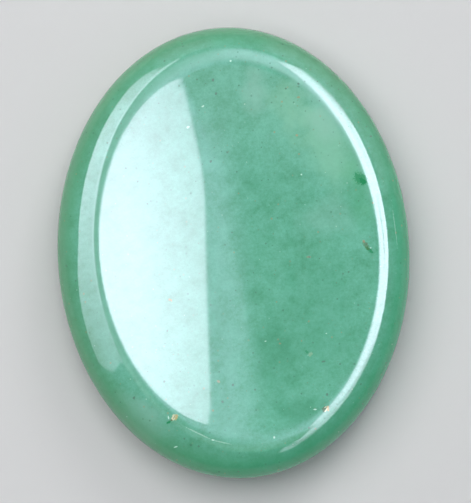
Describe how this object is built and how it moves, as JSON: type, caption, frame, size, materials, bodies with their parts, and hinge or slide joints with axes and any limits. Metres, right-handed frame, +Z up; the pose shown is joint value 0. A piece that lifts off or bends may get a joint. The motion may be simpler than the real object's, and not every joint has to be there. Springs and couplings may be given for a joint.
{
  "type": "worry stone",
  "caption": "Oval polished green stone with a shallow thumb basin in its top, a rounded rim and a gently crowned underside with a small flat spot.",
  "frame": {"origin": "middle of the small flat spot that the stone rests on", "axes": "+Y along the stone's length, +X across it, +Z up out of the thumb basin"},
  "size_m": [0.035, 0.045, 0.0075],
  "materials": {
    "polished_stone": "high polish, milky translucent green aventurine"
  },
  "bodies": {
    "root": {"worry_stone": "polished_stone"}
  },
  "joints": []
}
